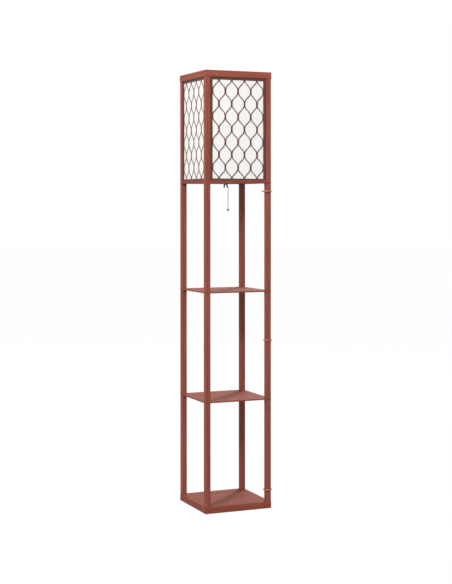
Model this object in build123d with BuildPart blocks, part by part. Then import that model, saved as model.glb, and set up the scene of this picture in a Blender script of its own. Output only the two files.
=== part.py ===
from build123d import *
from math import acos, cos, degrees, radians, sin, sqrt
import os

# Shelf floor lamp: a base slab, two shelves and a shade floor clamped between square post lengths,
# and a box shade whose four sides are ogee lattice panels over white diffusers.
# Millimetres. Origin on the floor under the middle of the lamp, +Z up, the front faces -Y.

# Driving sizes
lamp_height = 1600
slab_width = 260  # base slab and cap
board_width = 259  # shelves and shade floor
frame_width = 258  # over the outer faces of the posts
post_width = 19
felt_height = 1  # felt sheet under the base
felt_width = 220
base_top = 25
board_thickness = 5
lower_shelf_z = 400  # underside of each board
upper_shelf_z = 796
shade_floor_z = 1193.8
cap_height = 24
cap_rail_width = 20
board_edge = 0.6  # easing on the rims of the slab and the boards
post_edge = 0.6  # easing on the posts' long edges
shade_rail_height = 6
shade_rail_depth = 12

lattice_recess = 4.5  # lattice face behind the post faces
lattice_thickness = 1.2
diffuser_thickness = 1
cells_across = 4
cell_width = 50
cell_height = 92
strand_width = 3.2
joint_width = 6  # where two strands run upright side by side
strand_bend = 18  # radius of each strand's S-bends, on its middle line
strand_lean = 44  # degrees from upright between the bends
opening_low = 1210.2  # foot of the lattice opening
opening_high = 1566.8

stud_diameter = 6
stud_reach = 16  # into the post on each side of a board
dowel_radius = 4  # beech dowels under the cap's corners

ring_height = 4.6
ring_wall = 3.8
ring_levels = {"ring_lower": 69, "ring_middle": 619, "ring_upper": 1165}

bead_diameter = 4
bead_pitch = 7.45
bead_pin = 1.6
lowest_bead_z = 1108.4
bead_count = 10
chain_x = 12.3
pull_ball_diameter = 10.6
pull_ball_z = 1097.2

# Sizes that follow
half_frame = frame_width / 2
post_centre = half_frame - post_width / 2
post_span = frame_width - 2 * post_width
floor_top = shade_floor_z + board_thickness
cap_z = lamp_height - cap_height
lattice_face = half_frame - lattice_recess
diffuser_face = lattice_face - lattice_thickness
groove_width = lattice_thickness + diffuser_thickness + 0.1
groove_depth = 5
panel_seat = 3  # into the shade rail and the cap
panel_width = post_span + 2 * (groove_depth - 0.5)
panel_low = floor_top + shade_rail_height - panel_seat
panel_high = cap_z + panel_seat - 0.5
panel_height = panel_high - panel_low
panel_middle = (panel_low + panel_high) / 2
opening_width = cells_across * cell_width
opening_height = opening_high - opening_low
opening_middle = (opening_low + opening_high) / 2

corners = {
    "front_left": (-post_centre, -post_centre),
    "front_right": (post_centre, -post_centre),
    "rear_right": (post_centre, post_centre),
    "rear_left": (-post_centre, post_centre),
}
sides = {"front": 0, "right": 90, "rear": 180, "left": 270}  # turn about Z from the front
tiers = {
    "lower": (base_top, lower_shelf_z),
    "middle": (lower_shelf_z + board_thickness, upper_shelf_z),
    "upper": (upper_shelf_z + board_thickness, shade_floor_z),
    "shade": (floor_top, cap_z),
}
corner_grid = GridLocations(2 * post_centre, 2 * post_centre, 2, 2)


def save(piece, name):
    piece.part.label = name
    export_step(piece.part, f"parts/{name}.step")


def side_plane(turn, distance):
    # Upright plane that faces outwards on one side, with its own Y up.
    angle = radians(turn)
    outward = Vector(sin(angle), -cos(angle), 0)
    return Plane(origin=outward * distance, x_dir=(cos(angle), sin(angle), 0), z_dir=outward)


def make_base():
    bolt_seat = 8
    with BuildPart() as base_board:
        with BuildSketch(Plane.XY.offset(felt_height)):
            RectangleRounded(slab_width, slab_width, 1.5)
        extrude(amount=base_top - felt_height)
        chamfer(base_board.edges().group_by(Axis.Z)[0] + base_board.edges().group_by(Axis.Z)[-1], board_edge)
        with Locations(Plane(origin=(0, 0, felt_height), z_dir=(0, 0, -1))):
            with corner_grid:
                CounterBoreHole(stud_diameter / 2 + 0.3, 6.7, bolt_seat)
    save(base_board, "base_board")

    with BuildPart() as base_felt:
        with BuildSketch():
            RectangleRounded(felt_width, felt_width, 6)
        extrude(amount=felt_height)
    save(base_felt, "base_felt")

    with BuildPart() as base_bolts:
        with BuildSketch(Plane.XY.offset(felt_height + bolt_seat)):
            with corner_grid:
                Circle(stud_diameter / 2)
        extrude(amount=base_top - felt_height - bolt_seat + stud_reach)
        with BuildSketch(Plane.XY.offset(felt_height + bolt_seat)):
            with corner_grid:
                Circle(6)
                RegularPolygon(2, 6, mode=Mode.SUBTRACT)
        extrude(amount=-3.3)
    save(base_bolts, "base_bolts")


def make_board(name, low, centre_hole=0):
    with BuildPart() as board:
        with BuildSketch(Plane.XY.offset(low)):
            RectangleRounded(board_width, board_width, 1.2)
            with corner_grid:
                Circle(stud_diameter / 2 + 0.3, mode=Mode.SUBTRACT)
            if centre_hole:
                Circle(centre_hole / 2, mode=Mode.SUBTRACT)
        extrude(amount=board_thickness)
        rims = [board.faces().sort_by(Axis.Z)[end].outer_wire().edges() for end in (0, -1)]
        chamfer(rims[0] + rims[1], board_edge)
    save(board, name)


def make_post(name, corner, low, high, shade=False):
    # Foot and head take the studs that come through the boards. A shade post takes a dowel in its
    # head and the edges of two panels in its grooves.
    x, y = corner
    with BuildPart() as post:
        with BuildSketch(Plane.XY.offset(low)) as outline:
            with Locations((x, y)):
                Rectangle(post_width, post_width)
            chamfer(outline.vertices(), post_edge)
        extrude(amount=high - low)
        with BuildSketch(Plane.XY.offset(low)):
            with Locations((x, y)):
                Circle(stud_diameter / 2)
        extrude(amount=stud_reach, mode=Mode.SUBTRACT)
        with BuildSketch(Plane.XY.offset(high)):
            with Locations((x, y)):
                Circle(dowel_radius if shade else stud_diameter / 2)
        extrude(amount=-stud_reach, mode=Mode.SUBTRACT)
        if shade:
            inward = 1 if x < 0 else -1
            across = 1 if y < 0 else -1
            groove_middle = lattice_face - groove_width / 2
            wall = post_centre - post_width / 2 + groove_depth / 2
            with BuildSketch(Plane.XY.offset(low)):
                with Locations((-inward * wall, -across * groove_middle)):
                    Rectangle(groove_depth, groove_width)
                with Locations((-inward * groove_middle, -across * wall)):
                    Rectangle(groove_width, groove_depth)
            extrude(amount=high - low, mode=Mode.SUBTRACT)
    save(post, name)


def make_fasteners():
    with BuildPart() as joining_studs:
        for board_z in (lower_shelf_z, upper_shelf_z, shade_floor_z):
            with BuildSketch(Plane.XY.offset(board_z - stud_reach)):
                with corner_grid:
                    Circle(stud_diameter / 2)
            extrude(amount=board_thickness + 2 * stud_reach)
    save(joining_studs, "joining_studs")

    with BuildPart() as cap_dowels:
        with BuildSketch(Plane.XY.offset(cap_z - stud_reach)):
            with corner_grid:
                Circle(dowel_radius)
        extrude(amount=2 * stud_reach)
    save(cap_dowels, "cap_dowels")


def make_shade_rail(name, turn):
    # Strip on the shade floor between two posts, with a groove for the panel's lower edge.
    face = side_plane(turn, half_frame)
    with BuildPart() as rail:
        with BuildSketch(face):
            with Locations((0, floor_top)):
                Rectangle(post_span, shade_rail_height, align=(Align.CENTER, Align.MIN))
        extrude(amount=-shade_rail_depth)
        fillet(rail.edges().group_by(Axis.Z)[-1].sort_by(Axis((0, 0, 0), face.z_dir))[-1], 0.8)
        with BuildSketch(side_plane(turn, lattice_face)):
            with Locations((0, panel_low)):
                Rectangle(post_span, panel_seat, align=(Align.CENTER, Align.MIN))
        extrude(amount=-groove_width, mode=Mode.SUBTRACT)
    save(rail, name)


def make_cap_rail(name, turn):
    # Mitred rail. Its underside is grooved for the panel, and each mitre is keyed by a dowel.
    plan = Plane(origin=(0, 0, cap_z), x_dir=side_plane(turn, 0).x_dir, z_dir=(0, 0, 1))
    outer = slab_width / 2
    inner = outer - cap_rail_width
    with BuildPart() as rail:
        with BuildSketch(plan):
            with BuildLine():
                Polyline((-outer, -outer), (outer, -outer), (inner, -inner), (-inner, -inner), close=True)
            make_face()
        extrude(amount=cap_height)
        fillet(rail.edges().filter_by(lambda edge: edge.length > 2 * inner + 1), 1.2)
        with BuildSketch(plan):
            with Locations((0, -(lattice_face - groove_width / 2))):
                Rectangle(panel_width + 1, groove_width)
        extrude(amount=panel_seat, mode=Mode.SUBTRACT)
        with BuildSketch(plan):
            with Locations((-post_centre, -post_centre), (post_centre, -post_centre)):
                Circle(dowel_radius)
        extrude(amount=stud_reach, mode=Mode.SUBTRACT)
    save(rail, name)


def lattice_cell():
    # One hole of the net, an ogee. Each side runs upright past its neighbour, bends inwards, leans
    # straight, and bends back towards upright, so that head and foot end in a sharp point.
    lean = radians(strand_lean)
    bulge_radius = strand_bend - strand_width / 2
    neck_radius = strand_bend + strand_width / 2
    half_width = (cell_width - joint_width) / 2
    strand_run = cell_width / 2 - joint_width + strand_width  # sideways, from joint to joint
    slope_length = (strand_run - 2 * strand_bend * (1 - cos(lean))) / sin(lean)
    strand_rise = 2 * strand_bend * sin(lean) + slope_length * cos(lean)
    upright_length = (cell_height / 2 - strand_rise) / 2
    tip_lean = degrees(acos(1 - (strand_width - joint_width / 2) / neck_radius))
    with BuildSketch() as cell:
        with BuildLine():
            upright = Line((half_width, 0), (half_width, upright_length))
            bulge = JernArc(upright @ 1, (0, 1), bulge_radius, strand_lean)
            slope = Line(bulge @ 1, (bulge @ 1) + (bulge % 1) * slope_length)
            JernArc(slope @ 1, slope % 1, neck_radius, tip_lean - strand_lean)
            mirror(about=Plane.YZ)
            mirror(about=Plane.XZ)
        make_face()
    return cell.sketch


def make_lattice_panel(name, turn, cell):
    face = side_plane(turn, lattice_face)
    left = -opening_width / 2
    foot = opening_middle - cells_across * cell_height / 2
    whole = [(left + (i + 0.5) * cell_width, foot + (j + 0.5) * cell_height)
             for i in range(cells_across) for j in range(cells_across)]
    between = [(left + i * cell_width, foot + j * cell_height)
               for i in range(cells_across + 1) for j in range(cells_across + 1)]
    with BuildPart() as panel:
        with BuildSketch(face):
            with Locations((0, panel_middle)):
                Rectangle(panel_width, panel_height)
        extrude(amount=-lattice_thickness)
        with BuildSketch(face):
            with Locations(*(whole + between)):
                add(cell)
            with Locations((0, opening_middle)):
                Rectangle(opening_width, opening_height, mode=Mode.INTERSECT)
        extrude(amount=-lattice_thickness, mode=Mode.SUBTRACT)
    save(panel, name)


def make_diffuser(name, turn):
    with BuildPart() as diffuser:
        with BuildSketch(side_plane(turn, diffuser_face)):
            with Locations((0, panel_middle)):
                Rectangle(panel_width, panel_height)
        extrude(amount=-diffuser_thickness)
    save(diffuser, name)


# Lampholder, upright on the middle of the shade floor, and its bulb
nipple_radius = 5
nipple_bore = 3.5
nut_height = 2.2
outlet_height = 4
outlet_wall = 1.2
mouth_z = 1179  # open ends of the gland and the horn
holder_radius = 19
holder_wall = 0.8
holder_cap_top = floor_top + 14
shell_top = floor_top + 52
switch_block_low = floor_top + 4.8
screw_shell_low = floor_top + 31
bulb_tip_z = screw_shell_low + 3
bulb_cap_radius = 13
bulb_radius = 30
bulb_length = 110


def make_holder_mount():
    with BuildPart() as nipple:
        with BuildSketch(Plane.XY.offset(shade_floor_z - outlet_wall)):
            Circle(nipple_radius)
            Circle(nipple_bore, mode=Mode.SUBTRACT)
        extrude(amount=switch_block_low - shade_floor_z + outlet_wall)
    save(nipple, "nipple")

    with BuildPart() as lock_nut:
        with BuildSketch(Plane.XY.offset(floor_top + holder_wall)):
            RegularPolygon(6, 6, major_radius=False)
            Circle(nipple_radius, mode=Mode.SUBTRACT)
        extrude(amount=nut_height)
    save(lock_nut, "lock_nut")


def make_holder_body():
    # Dished lower half, gripped between the shade floor and the switch block.
    flare = 9
    inner_radius = holder_radius - holder_wall
    centre_hole = nipple_radius + 0.3
    with BuildPart() as holder_cap:
        with BuildSketch(Plane.XZ):
            with BuildLine():
                foot = Line((centre_hole, floor_top), (holder_radius - flare, floor_top))
                outer_flare = JernArc(foot @ 1, (1, 0), flare, 90)
                wall = Line(outer_flare @ 1, (holder_radius, holder_cap_top))
                rim = Line(wall @ 1, (inner_radius, holder_cap_top))
                inner_wall = Line(rim @ 1, (inner_radius, floor_top + flare))
                inner_flare = JernArc(inner_wall @ 1, (0, -1), flare - holder_wall, -90)
                inner_foot = Line(inner_flare @ 1, (centre_hole, floor_top + holder_wall))
                Line(inner_foot @ 1, foot @ 0)
            make_face()
        revolve(axis=Axis.Z)
    save(holder_cap, "holder_cap")

    # Straight outer shell that snaps over the cap, with a beaded foot and a rolled-in mouth.
    outer = holder_radius + holder_wall
    shell_low = holder_cap_top - 5
    with BuildPart() as holder_shell:
        with BuildSketch(Plane.XZ):
            with BuildLine():
                Polyline(
                    (holder_radius, shell_low), (outer + 0.6, shell_low), (outer + 0.6, shell_low + 3),
                    (outer, shell_low + 4), (outer, shell_top - 1), (outer - 1, shell_top),
                    (16, shell_top), (16, shell_top - holder_wall),
                    (holder_radius - 0.6, shell_top - holder_wall), (holder_radius, shell_top - 1.6),
                    close=True,
                )
            make_face()
        revolve(axis=Axis.Z)
    save(holder_shell, "holder_shell")

    # Moulded block with a seat for the screw shell and a slot for the switch lever.
    with BuildPart() as switch_block:
        with BuildSketch(Plane.XY.offset(switch_block_low)):
            Circle(17)
        extrude(amount=screw_shell_low + 4 - switch_block_low)
        with BuildSketch(Plane.XY.offset(screw_shell_low)):
            Circle(14.4)
        extrude(amount=4, mode=Mode.SUBTRACT)
        with BuildSketch(Plane.XY.offset(switch_block_low)):
            with Locations((8, 0)):
                SlotOverall(10, 4)
        extrude(amount=12, mode=Mode.SUBTRACT)
    save(switch_block, "switch_block")


def make_holder_contacts():
    with BuildPart() as screw_shell:
        with BuildSketch(Plane.XY.offset(screw_shell_low)):
            Circle(14.3)
        extrude(amount=shell_top - 2 - screw_shell_low)
        with BuildSketch(Plane.XY.offset(screw_shell_low + 0.5)):
            Circle(13.8)
        extrude(amount=shell_top - screw_shell_low, mode=Mode.SUBTRACT)
        with BuildSketch(Plane.XY.offset(screw_shell_low)):
            Circle(5)
        extrude(amount=0.5, mode=Mode.SUBTRACT)
    save(screw_shell, "screw_shell")

    # Sprung tongue that rises from the block to meet the bulb's tip.
    low = screw_shell_low
    strip = 0.4
    with BuildPart() as centre_contact:
        with BuildSketch(Plane.XZ):
            with BuildLine():
                Polyline(
                    (-4, low), (4, low), (4, low + strip), (-2.9, low + strip),
                    (1.75, bulb_tip_z - strip), (3, bulb_tip_z - strip), (3, bulb_tip_z),
                    (1.6, bulb_tip_z), (-4, low + strip), close=True,
                )
            make_face()
        extrude(amount=2.5, both=True)
    save(centre_contact, "centre_contact")


def make_bulb():
    cap_low = bulb_tip_z + 6
    neck_z = cap_low + 20
    globe_z = bulb_tip_z + bulb_length - bulb_radius
    with BuildPart() as bulb_cap:
        with BuildSketch(Plane.XZ):
            with BuildLine():
                Polyline(
                    (0, bulb_tip_z), (3.5, bulb_tip_z), (5, bulb_tip_z + 1.2), (9, bulb_tip_z + 2),
                    (bulb_cap_radius, cap_low), (bulb_cap_radius, neck_z),
                    (bulb_cap_radius - 0.5, neck_z), (bulb_cap_radius - 0.5, cap_low + 0.5),
                    (0, cap_low - 2), close=True,
                )
            make_face()
        revolve(axis=Axis.Z)
    save(bulb_cap, "bulb_cap")

    # Blown glass envelope, open at the neck where it is cemented into the cap.
    neck_radius = bulb_cap_radius - 0.6
    with BuildPart() as bulb_glass:
        with BuildSketch(Plane.XZ):
            with BuildLine():
                neck = Line((neck_radius, neck_z - 6), (neck_radius, neck_z + 2))
                swell = Spline(neck @ 1, (bulb_radius, globe_z), tangents=((0, 1), (0, 1)))
                crown = JernArc(swell @ 1, (0, 1), bulb_radius, 90)
                axis_line = Line(crown @ 1, (0, neck_z - 6))
                Line(axis_line @ 1, neck @ 0)
            make_face()
        revolve(axis=Axis.Z)
        offset(amount=-1, openings=bulb_glass.faces().sort_by(Axis.Z)[0])
    save(bulb_glass, "bulb_glass")


def make_spout(name, top, mouth, profile):
    # Turned tube on the slanting line from top to mouth. The profile holds radii and drops.
    run = mouth - top
    lateral = run.cross(Vector(0, 1, 0))
    with BuildPart() as spout:
        with BuildSketch(Plane(origin=top, x_dir=lateral, z_dir=(0, 1, 0))):
            with BuildLine():
                Polyline(*profile, close=True)
            make_face()
        revolve(axis=Axis(top, run))
    save(spout, name)


def make_outlets():
    # The hollow block on the nipple's end has two mouths: a gland for the supply lead, leaning one
    # way, and a horn that lets the pull chain down over its flared lip.
    block_middle, block_length, block_width = 2.7, 14.4, 9
    spout_radius = 2.8
    spout_z = shade_floor_z - outlet_height + outlet_wall + 0.6
    gland_top, gland_mouth = Vector(-2, 0, spout_z), Vector(-3.7, 0, mouth_z)
    horn_top, horn_mouth = Vector(7.7, 0, spout_z), Vector(9.9, 0, mouth_z)
    gland_length = (gland_mouth - gland_top).length
    horn_length = (horn_mouth - horn_top).length
    gland_bore, horn_bore = 1.7, 2.2

    with BuildPart() as outlet_block:
        with BuildSketch(Plane.XY.offset(shade_floor_z)):
            with Locations((block_middle, 0)):
                SlotOverall(block_length, block_width)
        extrude(amount=-outlet_height)
        fillet(outlet_block.faces().sort_by(Axis.Z)[0].outer_wire().edges(), 0.8)
        with BuildSketch(Plane.XY.offset(shade_floor_z - outlet_wall)):
            with Locations((block_middle, 0)):
                SlotOverall(block_length - 2 * outlet_wall, block_width - 2 * outlet_wall)
        extrude(amount=2 * outlet_wall - outlet_height, mode=Mode.SUBTRACT)
        with BuildSketch(Plane.XY.offset(shade_floor_z)):
            Circle(nipple_radius)
        extrude(amount=-outlet_wall, mode=Mode.SUBTRACT)
        for top, mouth in ((gland_top, gland_mouth), (horn_top, horn_mouth)):
            with BuildSketch(Plane(origin=top, z_dir=mouth - top)):
                Circle(spout_radius)
            extrude(amount=outlet_height, mode=Mode.SUBTRACT)
    save(outlet_block, "outlet_block")

    make_spout("cord_gland", gland_top, gland_mouth, [
        (gland_bore, 0), (spout_radius, 0), (spout_radius, gland_length - 0.5),
        (spout_radius - 0.5, gland_length), (gland_bore, gland_length),
    ])
    make_spout("chain_horn", horn_top, horn_mouth, [
        (horn_bore, 0), (spout_radius, 0), (spout_radius, horn_length - 2.2),
        (spout_radius + 0.5, horn_length - 0.6), (spout_radius + 0.5, horn_length - 0.2),
        (spout_radius + 0.3, horn_length), (horn_bore + 0.7, horn_length), (horn_bore, horn_length - 1.6),
    ])


def make_pull_chain():
    # The top bead moves with the switch. It and the third bead have flared seats, and the pin
    # between them swings in both, so the chain hangs free.
    bead_radius = bead_diameter / 2
    pin_radius = bead_pin / 2
    top_bead_z = lowest_bead_z + (bead_count - 1) * bead_pitch
    second_bead_z = top_bead_z - bead_pitch
    pivot_offset = 0.8
    seat_radius = 0.95
    flare = 1.7
    flare_length = 1.25
    stem_radius, stem_length = 0.6, 11
    stem_lean = Vector(-sin(radians(16)), 0, cos(radians(16)))  # into the horn, over its lip

    with BuildPart() as chain_stem:
        with Locations((chain_x, 0, top_bead_z)):
            Sphere(bead_radius)
        with BuildSketch(Plane(origin=(chain_x, 0, top_bead_z), z_dir=stem_lean)):
            Circle(stem_radius)
        extrude(amount=stem_length)
        with Locations((chain_x, 0, top_bead_z - pivot_offset)):
            Sphere(seat_radius, mode=Mode.SUBTRACT)
            Cone(flare, seat_radius, flare_length, align=(Align.CENTER, Align.CENTER, Align.MAX),
                 mode=Mode.SUBTRACT)
    save(chain_stem, "chain_stem")

    upper_pivot = top_bead_z - pivot_offset
    lower_pivot = second_bead_z + pivot_offset
    with BuildPart() as chain_link:
        with Locations((chain_x, 0, lower_pivot)):
            Cylinder(pin_radius, upper_pivot - lower_pivot, align=(Align.CENTER, Align.CENTER, Align.MIN))
        with Locations((chain_x, 0, lower_pivot), (chain_x, 0, upper_pivot)):
            Sphere(pin_radius)
    save(chain_link, "chain_link")

    with BuildPart() as bead_chain:
        with Locations(*[(chain_x, 0, lowest_bead_z + i * bead_pitch) for i in range(bead_count - 1)]):
            Sphere(bead_radius)
        pin_low = pull_ball_z + pull_ball_diameter / 2 - 1.5
        with Locations((chain_x, 0, pin_low)):
            Cylinder(pin_radius, second_bead_z - 1 - pin_low, align=(Align.CENTER, Align.CENTER, Align.MIN))
        with Locations((chain_x, 0, lower_pivot)):
            Sphere(seat_radius, mode=Mode.SUBTRACT)
            Cone(seat_radius, flare, flare_length, align=(Align.CENTER, Align.CENTER, Align.MIN),
                 mode=Mode.SUBTRACT)
    save(bead_chain, "bead_chain")

    with BuildPart() as pull_ball:
        with Locations((chain_x, 0, pull_ball_z)):
            Sphere(pull_ball_diameter / 2)
        with Locations((chain_x, 0, pin_low)):
            Cylinder(pin_radius, 4, align=(Align.CENTER, Align.CENTER, Align.MIN), mode=Mode.SUBTRACT)
    save(pull_ball, "pull_ball")


def make_rings():
    # The lower two fit over the post's corners. The upper one is larger and hangs to one side.
    x, y = corners["front_right"]
    half_post = post_width / 2
    snug = sqrt(half_post ** 2 + (half_post - post_edge) ** 2) + 0.08
    for name, level in ring_levels.items():
        loose = name == "ring_upper"
        inner = snug + 3 if loose else snug
        centre = x - 2.6 if loose else x
        with BuildPart() as ring:
            with BuildSketch(Plane(origin=(centre, y, level), x_dir=(1, 0, 0), z_dir=(0, -1, 0))) as section:
                with Locations((inner, 0)):
                    Rectangle(ring_wall, ring_height, align=(Align.MIN, Align.CENTER))
                fillet(section.vertices().group_by(Axis.X)[-1], 1.6)
            revolve(axis=Axis((centre, y, 0), (0, 0, 1)))
        save(ring, name)


def main():
    os.makedirs("parts", exist_ok=True)
    make_base()
    make_board("lower_shelf", lower_shelf_z)
    make_board("upper_shelf", upper_shelf_z)
    make_board("shade_floor", shade_floor_z, centre_hole=2 * nipple_radius + 0.6)
    for tier, (low, high) in tiers.items():
        for corner, place in corners.items():
            make_post(f"{tier}_post_{corner}", place, low, high, shade=tier == "shade")
    make_fasteners()
    cell = lattice_cell()
    for side, turn in sides.items():
        make_shade_rail(f"shade_rail_{side}", turn)
        make_cap_rail(f"cap_rail_{side}", turn)
        make_lattice_panel(f"lattice_{side}", turn, cell)
        make_diffuser(f"diffuser_{side}", turn)
    make_holder_mount()
    make_holder_body()
    make_holder_contacts()
    make_bulb()
    make_outlets()
    make_pull_chain()
    make_rings()


main()
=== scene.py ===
import bpy
import math
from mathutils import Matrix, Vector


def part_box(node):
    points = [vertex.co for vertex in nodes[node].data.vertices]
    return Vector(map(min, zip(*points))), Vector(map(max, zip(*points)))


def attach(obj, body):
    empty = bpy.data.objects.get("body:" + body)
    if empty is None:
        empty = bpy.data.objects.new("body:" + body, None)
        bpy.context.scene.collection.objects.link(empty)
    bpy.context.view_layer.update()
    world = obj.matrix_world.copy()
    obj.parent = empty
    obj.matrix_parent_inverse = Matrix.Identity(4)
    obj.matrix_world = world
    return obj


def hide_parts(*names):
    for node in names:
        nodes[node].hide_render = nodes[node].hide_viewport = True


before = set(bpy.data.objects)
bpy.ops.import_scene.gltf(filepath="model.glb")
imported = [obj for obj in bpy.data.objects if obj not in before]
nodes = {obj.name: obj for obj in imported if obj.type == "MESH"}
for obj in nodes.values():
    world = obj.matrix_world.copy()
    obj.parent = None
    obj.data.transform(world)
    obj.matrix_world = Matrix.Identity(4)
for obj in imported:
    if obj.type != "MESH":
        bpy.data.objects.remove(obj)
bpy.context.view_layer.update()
mm = 0.001
print("frame loaded:", len(nodes), "nodes")


def colour(hexText):  # an sRGB hex value as the linear colour that a socket wants
    channels = [int(hexText[i:i + 2], 16) / 255 for i in (1, 3, 5)]
    return [c / 12.92 if c < 0.04045 else ((c + 0.055) / 1.055) ** 2.4 for c in channels] + [1]


def deepened(tone, share):  # the same hue with this share of its light
    return [channel * share for channel in tone[:3]] + [1]


def addNode(tree, kind, inputs, **settings):  # a number sets a socket, a socket is linked to it
    node = tree.nodes.new(kind)
    for name, value in settings.items():
        setattr(node, name, value)
    for name, value in inputs.items():
        if isinstance(value, bpy.types.NodeSocket):
            tree.links.new(value, node.inputs[name])
        else:
            node.inputs[name].default_value = value
    return node


def newMaterial(name):
    material = bpy.data.materials.new(name)
    material.use_nodes = True
    material.node_tree.nodes.clear()
    return material, material.node_tree


def finishMaterial(tree, shader):
    addNode(tree, "ShaderNodeOutputMaterial", {"Surface": shader.outputs[0]})


def dress(material, names):
    for name in names:
        mesh = nodes[name].data
        mesh.materials.clear()
        mesh.materials.append(material)


def namesWith(*starts):
    return [name for name in nodes if name.startswith(starts)]


noiseSpan = (0.3, 0.7)  # nearly all of a noise's values lie between these


wood = {
    "dark": "#753D31",
    "middle": "#86483A",
    "light": "#955143",
    "ramp": (0.36, 0.5, 0.64),  # where the pattern is fully dark, middle and fully light
    "fibreWidth": 1.6 * mm,  # real fibres are about 0.2 mm; drawn coarser so that they show
    "stretch": 0.03,  # a fibre's width against its length
    "bandWidth": 14 * mm,  # slow bands where the stain took more or less
    "bandShare": 0.45,  # of the pattern; the rest is fibres
    "poreDepth": 0.04 * mm,
    "roughness": (0.56, 0.46),  # in dark streaks and in light ones
    "postGloss": 0.08,  # the lacquer is flatted, so it mirrors less than bare lacquer would
    "boardGloss": 0.03,  # boards and rails are rubbed down between coats, and are flatter still
    "capSheenLift": 1.07,  # painted sheen: the cap is drawn this much lighter, standing in for the gloss taken off its top
    "railDarkening": 0.85,  # the shade's rails and floor are drawn darker, keeping this much of the posts' light
}


def stainedWood(name, along, gloss, colourScale=1):
    # Plantation hardwood with a red-brown stain wiped on and a satin lacquer sprayed over it:
    # fine straight streaks along the length, and a soft gloss at low angles.
    material, tree = newMaterial(name)
    place = addNode(tree, "ShaderNodeTexCoord", {})
    squeeze = [wood["stretch"] if axis == along else 1 for axis in "xyz"]
    lengthwise = addNode(tree, "ShaderNodeMapping", {"Vector": place.outputs["Object"], "Scale": squeeze})
    fibres = addNode(tree, "ShaderNodeTexNoise", {
        "Vector": lengthwise.outputs[0], "Scale": 1 / wood["fibreWidth"], "Detail": 3, "Roughness": 0.6})
    bands = addNode(tree, "ShaderNodeTexNoise", {
        "Vector": lengthwise.outputs[0], "Scale": 1 / wood["bandWidth"], "Detail": 2, "Distortion": 0.4})
    both = addNode(tree, "ShaderNodeMix", {
        "Factor": wood["bandShare"], "A": fibres.outputs[0], "B": bands.outputs[0]})
    tone = addNode(tree, "ShaderNodeValToRGB", {"Fac": both.outputs[0]})
    ramp = tone.color_ramp.elements
    ramp[0].position, middle, ramp[1].position = wood["ramp"]
    # colourScale lightens the cap as painted sheen and darkens the shade's rails and floor
    ramp[0].color = deepened(colour(wood["dark"]), colourScale)
    ramp[1].color = deepened(colour(wood["light"]), colourScale)
    ramp.new(middle).color = deepened(colour(wood["middle"]), colourScale)
    sheen = addNode(tree, "ShaderNodeMapRange", {
        "Value": both.outputs[0], "From Min": noiseSpan[0], "From Max": noiseSpan[1],
        "To Min": wood["roughness"][0], "To Max": wood["roughness"][1]})
    pores = addNode(tree, "ShaderNodeBump", {
        "Height": fibres.outputs[0], "Strength": 0.5, "Distance": wood["poreDepth"]})
    shader = addNode(tree, "ShaderNodeBsdfPrincipled", {
        "Base Color": tone.outputs[0], "Roughness": sheen.outputs[0], "Normal": pores.outputs[0],
        "IOR": 1.5, "Specular IOR Level": gloss})
    finishMaterial(tree, shader)
    return material


dress(stainedWood("stainedPosts", "z", wood["postGloss"]),
      namesWith("lower_post", "middle_post", "upper_post", "shade_post"))
dress(stainedWood("stainedBoards", "x", wood["boardGloss"]), ["base_board", "lower_shelf", "upper_shelf"])
dress(stainedWood("stainedCapAcross", "x", wood["boardGloss"], wood["capSheenLift"]),
      ["cap_rail_front", "cap_rail_rear"])
dress(stainedWood("stainedCapDeep", "y", wood["boardGloss"], wood["capSheenLift"]),
      ["cap_rail_left", "cap_rail_right"])
dress(stainedWood("stainedRailsAcross", "x", wood["boardGloss"], wood["railDarkening"]),
      ["shade_floor", "shade_rail_front", "shade_rail_rear"])
dress(stainedWood("stainedRailsDeep", "y", wood["boardGloss"], wood["railDarkening"]),
      ["shade_rail_left", "shade_rail_right"])
print("stained wood done")


lattice = {
    # painted shade: darker than the posts' wood, for the shadow on the recessed lattice
    "colour": "#50241C",
    "speck": "#431C16",
    "roughness": 0.5,
    "grit": 0.8 * mm,  # the grain of the orange peel
    "peelDepth": 0.05 * mm,
}


def sprayedBoard():
    # Thin hardboard, routed out and sprayed to match the posts: even in colour, flatter than the lacquered
    # wood, with a fine orange peel. Its colour is set darker than the posts' as painted shade, for the
    # shadow that falls on the lattice in its recess.
    material, tree = newMaterial("sprayedHardboard")
    place = addNode(tree, "ShaderNodeTexCoord", {})
    peel = addNode(tree, "ShaderNodeTexNoise", {
        "Vector": place.outputs["Object"], "Scale": 1 / lattice["grit"], "Detail": 2})
    tone = addNode(tree, "ShaderNodeMix", {
        "Factor": peel.outputs[0], "A": colour(lattice["colour"]), "B": colour(lattice["speck"])},
        data_type="RGBA")
    bump = addNode(tree, "ShaderNodeBump", {
        "Height": peel.outputs[0], "Strength": 0.3, "Distance": lattice["peelDepth"]})
    shader = addNode(tree, "ShaderNodeBsdfPrincipled", {
        "Base Color": tone.outputs[2], "Roughness": lattice["roughness"], "Normal": bump.outputs[0]})
    finishMaterial(tree, shader)
    return material


dress(sprayedBoard(), namesWith("lattice"))


linen = {
    "white": "#E7E4E1",
    "shade": "#D7D4D0",
    "threadSpacing": 1.4 * mm,  # real threads lie 0.5 mm apart; drawn coarser so that they show
    "threadDepth": 0.1 * mm,
    "waviness": 1.5,
    "slub": 9 * mm,
    "roughness": 0.85,
}


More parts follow.
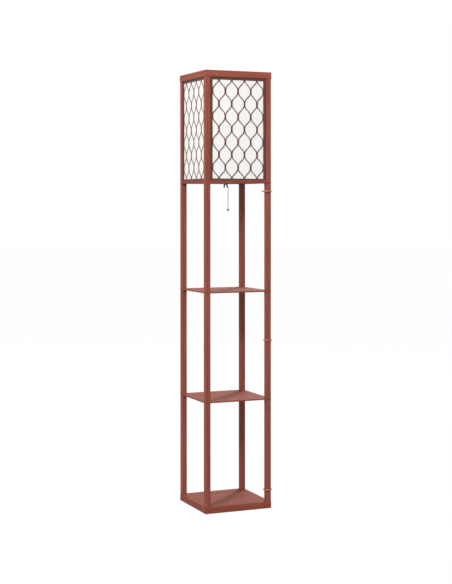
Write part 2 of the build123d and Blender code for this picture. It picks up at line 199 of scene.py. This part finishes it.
def wovenLinen(name, along):
    # White linen bonded to a clear sheet: matt, faintly crossed by its threads, with thicker slubs.
    material, tree = newMaterial(name)
    place = addNode(tree, "ShaderNodeTexCoord", {})
    turns = math.tau * linen["threadSpacing"]
    warp = addNode(tree, "ShaderNodeTexWave", {
        "Vector": place.outputs["Object"], "Scale": 1 / turns, "Distortion": linen["waviness"], "Detail": 1},
        wave_type="BANDS", bands_direction="Z")
    weft = addNode(tree, "ShaderNodeTexWave", {
        "Vector": place.outputs["Object"], "Scale": 1 / turns, "Distortion": linen["waviness"], "Detail": 1},
        wave_type="BANDS", bands_direction=along)
    cross = addNode(tree, "ShaderNodeMath", {0: warp.outputs[0], 1: weft.outputs[0]}, operation="MULTIPLY")
    slubs = addNode(tree, "ShaderNodeTexNoise", {
        "Vector": place.outputs["Object"], "Scale": 1 / linen["slub"], "Detail": 3})
    mixed = addNode(tree, "ShaderNodeMath", {0: cross.outputs[0], 1: slubs.outputs[0]}, operation="MULTIPLY")
    tone = addNode(tree, "ShaderNodeMix", {
        "Factor": mixed.outputs[0], "A": colour(linen["white"]), "B": colour(linen["shade"])},
        data_type="RGBA")
    bump = addNode(tree, "ShaderNodeBump", {
        "Height": cross.outputs[0], "Strength": 0.3, "Distance": linen["threadDepth"]})
    shader = addNode(tree, "ShaderNodeBsdfPrincipled", {
        "Base Color": tone.outputs[2], "Roughness": linen["roughness"], "Normal": bump.outputs[0],
        "Sheen Weight": 0.1, "Specular IOR Level": 0.2})
    finishMaterial(tree, shader)
    return material


dress(wovenLinen("wovenLinenAcross", "X"), ["diffuser_front", "diffuser_rear"])
dress(wovenLinen("wovenLinenDeep", "Y"), ["diffuser_left", "diffuser_right"])
print("shade panels done")


def smoothFinish(name, hexText, roughness, metallic=0, mottle=0.08, grain=1.5 * mm, bump=0, **extra):
    # A finish that is the same all over but for slight wear: the noise shifts its gloss and depth.
    material, tree = newMaterial(name)
    place = addNode(tree, "ShaderNodeTexCoord", {})
    wear = addNode(tree, "ShaderNodeTexNoise", {
        "Vector": place.outputs["Object"], "Scale": 1 / grain, "Detail": 4})
    gloss = addNode(tree, "ShaderNodeMapRange", {
        "Value": wear.outputs[0],
        "To Min": roughness * (1 - 2 * mottle), "To Max": roughness * (1 + 2 * mottle)})
    base = colour(hexText)
    tone = addNode(tree, "ShaderNodeMix", {
        "Factor": wear.outputs[0], "A": base, "B": deepened(base, 1 - mottle)}, data_type="RGBA")
    inputs = {"Base Color": tone.outputs[2], "Roughness": gloss.outputs[0], "Metallic": metallic}
    if bump:
        relief = addNode(tree, "ShaderNodeBump", {
            "Height": wear.outputs[0], "Strength": 0.6, "Distance": bump})
        inputs["Normal"] = relief.outputs[0]
    inputs.update(extra)
    shader = addNode(tree, "ShaderNodeBsdfPrincipled", inputs)
    finishMaterial(tree, shader)
    return material


# Polished nickel plate, barrel finished and dulled a little by handling: mirror-like, so it shows the
# room, but greyer than new plate.
nickel = smoothFinish("polishedNickelPlate", "#928F8B", 0.12, metallic=1, mottle=0.04)
# Cast zinc under baked enamel: near black with a soft gloss.
enamel = smoothFinish("bakedEnamel", "#1C1211", 0.4, mottle=0.1, bump=0.02 * mm, IOR=1.35)
# Injection-moulded ABS in the red-brown of the wood, glossy; its colour is set lighter and more orange than
# the wood's as a painted highlight, standing in for the bright highlights on its rounded face.
ringPlasticPaintedHighlight = smoothFinish("mouldedABS", "#BC6149", 0.16, mottle=0.05, IOR=1.53)
# Sheet brass, pressed and bright dipped: yellow, a little blurred.
brass = smoothFinish("pressedBrass", "#C9A35A", 0.25, metallic=1)
# Zinc-plated steel, drawn: grey with a blurred shine.
steel = smoothFinish("zincPlatedSteel", "#A9ABAD", 0.35, metallic=1)
# Phenolic moulding: dull black-brown.
phenolic = smoothFinish("mouldedPhenolic", "#2A2320", 0.5, bump=0.03 * mm)
# Beech dowel, turned and left bare: pale and matt.
beech = smoothFinish("turnedBeech", "#C59D70", 0.7, mottle=0.2)
# Wool felt, needled and pressed: dark, hairy and without gloss.
felt = smoothFinish(
    "pressedFelt", "#3A3431", 0.95, mottle=0.3, grain=0.7 * mm, bump=0.4 * mm, **{"Sheen Weight": 0.5})
# Aluminium, rolled: bright and faintly streaked.
aluminium = smoothFinish("rolledAluminium", "#C9CBCC", 0.28, metallic=1)
# Soda glass, etched inside: milky white behind a clear gloss.
frosted = smoothFinish("frostedGlass", "#F1F1EC", 0.22, mottle=0.02, grain=20 * mm, IOR=1.5)

dress(nickel, ["chain_stem", "chain_link", "bead_chain", "pull_ball"])
dress(enamel, ["outlet_block", "cord_gland", "chain_horn"])
dress(ringPlasticPaintedHighlight, ["ring_lower", "ring_middle", "ring_upper"])
dress(brass, ["holder_cap", "holder_shell", "screw_shell", "centre_contact"])
dress(steel, ["base_bolts", "joining_studs", "nipple", "lock_nut"])
dress(phenolic, ["switch_block"])
dress(beech, ["cap_dowels"])
dress(felt, ["base_felt"])
dress(frosted, ["bulb_glass"])
print("metals and mouldings done")


bulbCap = {
    "radius": 12.3 * mm,  # under the thread
    "sides": 64,
    "tipDepth": 6 * mm,
    "tipSteps": (  # drop and scale of each: a cone, black glass, the solder's rim and its end
        (2.5 * mm, 0.72), (1.7 * mm, 0.55), (0.7 * mm, 0.6), (1.1 * mm, 0.75)),
    "threadRadius": 0.7 * mm,
    "threadSides": 10,
    "threadStart": 2 * mm,  # above the tip
    "pitch": 3.6 * mm,
    "turns": 4,
    "stepsPerTurn": 48,
}


def makeBulbCap():
    low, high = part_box("bulb_cap")
    shoulder = low[2] + bulbCap["tipDepth"]
    depth = high[2] - shoulder
    bpy.ops.object.select_all(action="DESELECT")
    bpy.ops.mesh.primitive_cylinder_add(
        vertices=bulbCap["sides"], radius=bulbCap["radius"], depth=depth,
        location=(0, 0, shoulder + depth / 2))
    cap = bpy.context.object
    bpy.ops.object.mode_set(mode="EDIT")
    bpy.ops.mesh.select_all(action="DESELECT")
    bpy.ops.object.mode_set(mode="OBJECT")
    for face in cap.data.polygons:
        face.select = face.normal.z < -0.9  # the underside
    bpy.ops.object.mode_set(mode="EDIT")
    for drop, scale in bulbCap["tipSteps"]:
        bpy.ops.mesh.extrude_region_move(TRANSFORM_OT_translate={"value": (0, 0, -drop)})
        bpy.ops.transform.resize(value=(scale, scale, 1))
    bpy.ops.object.mode_set(mode="OBJECT")

    bpy.ops.object.select_all(action="DESELECT")
    bpy.ops.mesh.primitive_circle_add(
        vertices=bulbCap["threadSides"], radius=bulbCap["threadRadius"], fill_type="NOTHING",
        location=(bulbCap["radius"], 0, shoulder + bulbCap["threadStart"]), rotation=(math.pi / 2, 0, 0))
    thread = bpy.context.object
    bpy.ops.object.transform_apply(location=True, rotation=True, scale=True)
    coil = thread.modifiers.new("coil", "SCREW")
    coil.screw_offset = bulbCap["pitch"]
    coil.iterations = bulbCap["turns"]
    coil.steps = coil.render_steps = bulbCap["stepsPerTurn"]
    bpy.ops.object.modifier_apply(modifier=coil.name)
    bpy.ops.object.mode_set(mode="EDIT")
    bpy.ops.mesh.select_all(action="DESELECT")
    bpy.ops.mesh.select_mode(type="EDGE")
    bpy.ops.mesh.select_non_manifold()
    bpy.ops.mesh.fill()
    bpy.ops.mesh.select_all(action="SELECT")
    bpy.ops.mesh.normals_make_consistent(inside=False)
    bpy.ops.mesh.select_mode(type="VERT")
    bpy.ops.object.mode_set(mode="OBJECT")
    cap.select_set(True)
    bpy.context.view_layer.objects.active = cap
    bpy.ops.object.transform_apply(location=True, rotation=True, scale=True)
    bpy.ops.object.join()
    bpy.ops.object.shade_smooth_by_angle(angle=math.radians(35))
    cap.name = "bulbCapThreaded"
    cap.data.materials.clear()
    cap.data.materials.append(aluminium)
    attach(cap, "frame")
    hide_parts("bulb_cap")


makeBulbCap()
print("bulb cap done")


stage = {
    "floorSize": 60,
    "floorColour": "#828282",
    "backgroundWhite": 0.92,  # this much of the floor is seen as plain white, the rest takes shadow
    "backgroundGlow": 1.07,  # strength of that white, a little over 1 to make up for the rest
    "overhead": 0.35,  # soft light from above, fading to the level of the walls
    "walls": 1.35,
    "fade": (0.05, 0.5),  # sines of the angles above the horizon between which it fades
}
lamps = {
    "key": {"from": (-2.7, -2.3, 2.9), "at": (0, 0, 1.0), "size": 1.3, "power": 160},
    "back": {"from": (2.6, 3.1, 3.0), "at": (0, 0, 0.6), "size": 0.9, "power": 130},
    "fill": {"from": (1.3, -2.2, 1.5), "at": (0, 0, 1.0), "size": 0.25, "power": 5},
}


def seenDirectly(tree):  # 1 where a ray shows the room itself, in the picture, a mirror or glass
    rays = addNode(tree, "ShaderNodeLightPath", {})
    mirrored = addNode(tree, "ShaderNodeMath", {
        0: rays.outputs["Is Camera Ray"], 1: rays.outputs["Is Glossy Ray"]}, operation="MAXIMUM")
    return addNode(tree, "ShaderNodeMath", {
        0: mirrored.outputs[0], 1: rays.outputs["Is Transmission Ray"]}, operation="MAXIMUM")


def makeFloor():
    bpy.ops.object.select_all(action="DESELECT")
    bpy.ops.mesh.primitive_plane_add(size=stage["floorSize"], location=(0, 0, 0))
    floor = bpy.context.object
    floor.name = "studioFloor"
    material, tree = newMaterial("studioFloor")
    share = addNode(tree, "ShaderNodeMath", {
        0: seenDirectly(tree).outputs[0], 1: stage["backgroundWhite"]}, operation="MULTIPLY")
    paper = addNode(tree, "ShaderNodeBsdfDiffuse", {"Color": colour(stage["floorColour"])})
    white = addNode(tree, "ShaderNodeEmission", {
        "Color": (1, 1, 1, 1), "Strength": stage["backgroundGlow"]})
    both = addNode(tree, "ShaderNodeMixShader", {
        0: share.outputs[0], 1: paper.outputs[0], 2: white.outputs[0]})
    finishMaterial(tree, both)
    floor.data.materials.append(material)


def makeWorld():
    world = bpy.data.worlds.new("studioRoom")
    world.use_nodes = True
    bpy.context.scene.world = world
    tree = world.node_tree
    tree.nodes.clear()
    way = addNode(tree, "ShaderNodeTexCoord", {})
    height = addNode(tree, "ShaderNodeSeparateXYZ", {"Vector": way.outputs["Generated"]})
    room = addNode(tree, "ShaderNodeMapRange", {
        "Value": height.outputs["Z"], "From Min": stage["fade"][0], "From Max": stage["fade"][1],
        "To Min": stage["walls"], "To Max": stage["overhead"]})
    level = addNode(tree, "ShaderNodeMix", {
        "Factor": seenDirectly(tree).outputs[0], "A": room.outputs[0], "B": 1})
    light = addNode(tree, "ShaderNodeBackground", {"Color": (1, 1, 1, 1), "Strength": level.outputs[0]})
    addNode(tree, "ShaderNodeOutputWorld", {"Surface": light.outputs[0]})


def makeLamps():
    for name, lamp in lamps.items():
        data = bpy.data.lights.new(name + "Lamp", "AREA")
        data.shape = "DISK"
        data.size = lamp["size"]
        data.energy = lamp["power"]
        shining = bpy.data.objects.new(name + "Lamp", data)
        bpy.context.collection.objects.link(shining)
        way = [there - here for here, there in zip(lamp["from"], lamp["at"])]
        tilt = math.atan2(math.hypot(way[0], way[1]), -way[2])
        shining.location = lamp["from"]
        shining.rotation_euler = (tilt, 0, math.atan2(way[1], way[0]) - math.pi / 2)


makeFloor()
makeWorld()
makeLamps()
print("stage and lamps done")


camera = {
    "place": (-1.92602, -4.65112, 1.11307),
    "yaw": -23.83065,  # turned towards the near corner
    "tilt": -0.69984,  # nearly level: the photo's uprights hardly converge
    "sensor": 36,
    "lens": 83.504,
    "shift": (-0.05242, -0.12),
}


def makeCamera():
    data = bpy.data.cameras.new("photoCamera")
    data.lens = camera["lens"]
    data.sensor_width = camera["sensor"]
    data.shift_x, data.shift_y = camera["shift"]
    eye = bpy.data.objects.new("photoCamera", data)
    bpy.context.collection.objects.link(eye)
    eye.location = camera["place"]
    eye.rotation_euler = (math.pi / 2 + math.radians(camera["tilt"]), 0, math.radians(camera["yaw"]))
    bpy.context.scene.camera = eye


makeCamera()
bpy.context.scene.view_settings.view_transform = "Standard"
print("camera done")
